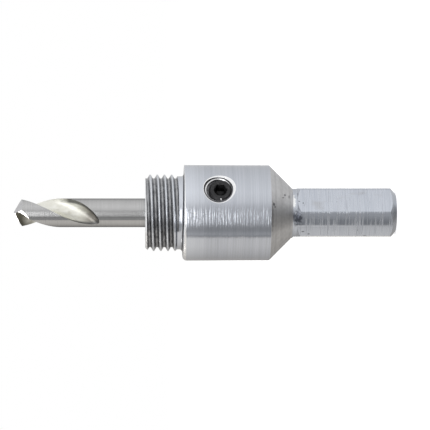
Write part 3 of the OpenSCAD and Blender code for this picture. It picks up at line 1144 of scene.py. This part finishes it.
# %% Scale, smooth and attach
SHARP = math.radians(22)


def finish_piece(piece, node, body):
    piece.data.transform(Matrix.Scale(MM, 4))
    piece.data.shade_smooth()
    piece.data.set_sharp_from_angle(angle=SHARP)
    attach(piece, body)
    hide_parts(node)
    print(f"{piece.name}: {len(piece.data.polygons)} faces, rides on {body}")


finish_piece(arbor, "arbor_body", "arbor")
finish_piece(drill, "pilot_drill", "pilot_drill")
finish_piece(screw, "set_screw", "set_screw")

# %% [markdown]
# ## Floor and background
#
# The arbor stands on a pale floor. The camera sees the floor and the world as white, by a glow
# of their own that puts no more light on the metal, and the floor still shows the soft shadow
# at the arbor's foot. Reflections leave the floor out, because the tent below stands in for it.

# %% Floor
FLOOR_SIZE = 6.0


def seen_directly(tree):
    """1 for camera, glossy and transmission rays, and 0 for the rays that only carry light."""
    path = tree.nodes.new("ShaderNodeLightPath")
    total = calculate(tree, "ADD", path.outputs["Is Camera Ray"], path.outputs["Is Glossy Ray"])
    total = calculate(tree, "ADD", total, path.outputs["Is Transmission Ray"])
    return calculate(tree, "MINIMUM", total, 1.0)


def make_floor():
    made = bmesh.new()
    bmesh.ops.create_grid(made, x_segments=8, y_segments=8, size=FLOOR_SIZE / 2)
    material = bpy.data.materials.new("floor_white")
    material.use_nodes = True
    tree = material.node_tree
    shader = tree.nodes["Principled BSDF"]
    shader.inputs["Base Color"].default_value = (0.8, 0.8, 0.8, 1)
    shader.inputs["Roughness"].default_value = 1.0
    shader.inputs["Specular IOR Level"].default_value = 0.0
    shader.inputs["Emission Color"].default_value = (1, 1, 1, 1)
    glow = calculate(tree, "MULTIPLY", seen_directly(tree), 0.6)
    tree.links.new(glow, shader.inputs["Emission Strength"])
    floor = add_piece("floor", made, material)
    floor.location.z = -0.00005
    floor.visible_glossy = False
    print(f"floor: {FLOOR_SIZE} m wide")


make_floor()

# %% World
WORLD_FILL = 0.5


def make_world():
    world = bpy.data.worlds.new("white_studio")
    bpy.context.scene.world = world
    world.use_nodes = True
    tree = world.node_tree
    background = tree.nodes["Background"]
    background.inputs["Color"].default_value = (1, 1, 1, 1)
    strength = spread(tree, seen_directly(tree), 0, 1, WORLD_FILL, 1.0)
    tree.links.new(strength, background.inputs["Strength"])
    print(f"world: white to look at, {WORLD_FILL} as a light")


make_world()

# %% [markdown]
# ## Light
#
# Metal shows its surroundings more than its own colour, so a photographer puts it in a tent of
# white, grey and dark cloth. This tent is a tall tube round the arbor that only reflections
# see. Its brightness is a ramp round the axis: white on one side, a dark band beside the
# camera, grey beyond it.

# %% The tent
TENT_R = 0.45
TENT_HEIGHT = 1.6
# degrees round from the camera towards the picture's top, and how bright the cloth is there
TENT_CLOTH = [
    (-180, 0.40), (-142, 0.47), (-120, 0.60), (-88, 0.76), (-66, 0.78), (-61, 0.72),
    (-60, 0.24), (-57, 0.33), (-53, 0.50), (-46, 0.37), (-36, 0.33), (-28, 0.42),
    (-20, 0.50), (-3, 0.58), (4, 0.56), (12, 0.64), (26, 0.92), (50, 1.02), (90, 0.91),
    (127, 0.79), (180, 0.60),
]
# the cloth is a little warmer from the far side up to here, on the side of the picture's bottom
WARM_TO = -60.5
WARM_CLOTH = (1.035, 1.0, 0.95)
# metres from the arbor towards the picture's top, and how bright the base is there
BASE_CLOTH = [(-0.45, 0.47), (-0.2, 0.31), (0.0, 0.26), (0.13, 0.41), (0.28, 0.68), (0.45, 0.82)]


def only_in_reflections(cloth):
    cloth.visible_camera = False
    cloth.visible_diffuse = False
    cloth.visible_shadow = False
    cloth.visible_transmission = False


def share_round(degrees):
    """An angle as a share of the way round, from 0 at -180 degrees to 1 at 180."""
    return (degrees + 180) / 360


def cloth_material(name, share, levels):
    """Glowing cloth. share makes the nodes that run from 0 to 1 over it, and levels holds
    (share, brightness) stops."""
    material = bpy.data.materials.new(name)
    material.use_nodes = True
    tree = material.node_tree
    tree.nodes.clear()
    place = tree.nodes.new("ShaderNodeTexCoord").outputs["Object"]
    ramp = add_node(tree, "ShaderNodeValToRGB", Fac=share(tree, place))
    stops = ramp.color_ramp.elements
    for position, _ in levels[1:-1]:
        stops.new(position)
    for stop, (position, level) in zip(stops, levels):
        warmth = WARM_CLOTH if position < share_round(WARM_TO) else (1, 1, 1)
        stop.color = (*(level * tint for tint in warmth), 1)
    glow = add_node(tree, "ShaderNodeEmission", Color=ramp.outputs[0], Strength=1.0)
    output = tree.nodes.new("ShaderNodeOutputMaterial")
    tree.links.new(glow.outputs[0], output.inputs["Surface"])
    return material


def angle_share(tree, place):
    split = add_node(tree, "ShaderNodeSeparateXYZ", Vector=place)
    angle = calculate(tree, "ARCTAN2", split.outputs[1], split.outputs[0])
    return spread(tree, angle, -math.pi, math.pi, 0, 1)


def height_share(tree, place):
    split = add_node(tree, "ShaderNodeSeparateXYZ", Vector=place)
    return spread(tree, split.outputs[1], -TENT_R, TENT_R, 0, 1)


def make_tent():
    """A tube of cloth and a disc that closes it below the arbor, both turned to the camera."""
    made = bmesh.new()
    bmesh.ops.create_cone(made, segments=96, radius1=TENT_R, radius2=TENT_R, depth=TENT_HEIGHT)
    levels = [(share_round(degrees), level) for degrees, level in TENT_CLOTH]
    tent = add_piece("tent", made, cloth_material("tent_cloth", angle_share, levels))
    made = bmesh.new()
    bmesh.ops.create_circle(made, cap_ends=True, segments=48, radius=TENT_R)
    levels = [(0.5 + up / TENT_R / 2, level) for up, level in BASE_CLOTH]
    base = add_piece("tent_base", made, cloth_material("base_cloth", height_share, levels))
    base.location.z = -TENT_HEIGHT / 2
    for cloth in (tent, base):
        cloth.rotation_euler.z = math.radians(CAMERA_TURN - 90)
        only_in_reflections(cloth)
    print(f"tent: {len(TENT_CLOTH)} stops round the arbor")


make_tent()

# %% [markdown]
# Two things in the photograph need a light of their own. Below the hole, the turning marks shine
# as a row of bright streaks: the little slopes of the grooves catch a light that stands beside
# the camera and further along the axis, and the flat metal doesn't. A small light behind the
# arbor makes the heel of the drill's point flash.

# %% Two panels that only reflections see
# degrees round from the camera, and how bright the light is there
MARK_PANEL = [
    (-44, 0.2), (-38, 0.4), (-32, 1.0), (-25, 2.6), (-6, 3.2), (6, 2.4), (14, 1.0), (22, 0.5),
]
HEEL_PANEL = [(-133, 4.0), (-117, 4.0)]
PANEL_R = 0.97 * TENT_R


def make_panel(name, cloth, low, high, steps=24):
    """A bent panel just inside the tent, from height low to high in metres."""
    made = bmesh.new()
    rows = []
    first, last = cloth[0][0], cloth[-1][0]
    for k in range(steps + 1):
        angle = math.radians(first + (last - first) * k / steps)
        x, y = PANEL_R * math.cos(angle), PANEL_R * math.sin(angle)
        rows.append([made.verts.new((x, y, z)) for z in (low, high)])
    for one, other in zip(rows, rows[1:]):
        made.faces.new((one[0], other[0], other[1], one[1]))
    levels = [(share_round(degrees), level) for degrees, level in cloth]
    panel = add_piece(name, made, cloth_material(name + "_cloth", angle_share, levels))
    panel.rotation_euler.z = math.radians(CAMERA_TURN - 90)
    only_in_reflections(panel)
    print(f"{name}: from {first} to {last} degrees, {low} to {high} m high")


make_panel("mark_panel", MARK_PANEL, 0.12, 0.42)
make_panel("heel_panel", HEEL_PANEL, 0.38, 0.48)

# %% [markdown]
# Three soft lamps stand round the arbor, above it. Reflections don't show them, so they only
# light what is matt: the floor, and the part of the black oxide that isn't metal.

# %% Lamps
LAMP_AIM = Vector((0, 0, 0.03))


def add_lamp(name, place, size, power):
    data = bpy.data.lights.new(name, "AREA")
    data.shape = "SQUARE"
    data.size = size
    data.energy = power
    lamp = bpy.data.objects.new(name, data)
    bpy.context.scene.collection.objects.link(lamp)
    lamp.location = place
    lamp.rotation_euler = (LAMP_AIM - Vector(place)).to_track_quat("-Z", "Y").to_euler()
    lamp.visible_camera = False
    lamp.visible_glossy = False
    print(f"{name}: {power} W")


add_lamp("key_lamp", (-0.5, -0.6, 0.8), 0.6, 6)
add_lamp("fill_lamp", (0.7, -0.3, 0.7), 0.6, 4)
add_lamp("back_lamp", (0.1, 0.7, 0.8), 0.6, 4)

# %% [markdown]
# ## Camera
#
# The photograph was taken from the side and from close by, so that round edges near the ends
# bulge, and it lies on its side: the drill points left. So the camera stands less than half a
# metre from the standing arbor, looks down on it by two degrees and is rolled by a quarter turn.

# %% Camera
VIEW_WIDTH_MM = 90.05
VIEW_CENTRE_Z_MM = 37.78
VIEW_SHIFT_MM = 0.46
CAMERA_RISE = 2.0
CAMERA_DISTANCE = 0.47


def add_camera():
    turn, rise = math.radians(CAMERA_TURN), math.radians(CAMERA_RISE)
    level = Vector((math.sin(turn), -math.cos(turn), 0))
    back = level * math.cos(rise) + Vector((0, 0, math.sin(rise)))
    up = Vector((math.cos(turn), math.sin(turn), 0))
    right = up.cross(back)
    data = bpy.data.cameras.new("camera")
    data.sensor_width = 36
    data.lens = data.sensor_width * CAMERA_DISTANCE / (VIEW_WIDTH_MM * MM)
    data.clip_end = 20
    camera = bpy.data.objects.new("camera", data)
    bpy.context.scene.collection.objects.link(camera)
    target = Vector((0, 0, VIEW_CENTRE_Z_MM * MM)) - up * VIEW_SHIFT_MM * MM
    camera.matrix_world = Matrix.Translation(target + back * CAMERA_DISTANCE) @ Matrix(
        (right, up, back)).transposed().to_4x4()
    bpy.context.scene.camera = camera
    print(f"camera: {data.lens:.0f} mm lens, {CAMERA_DISTANCE} m away")


add_camera()
bpy.context.scene.view_settings.view_transform = "Standard"
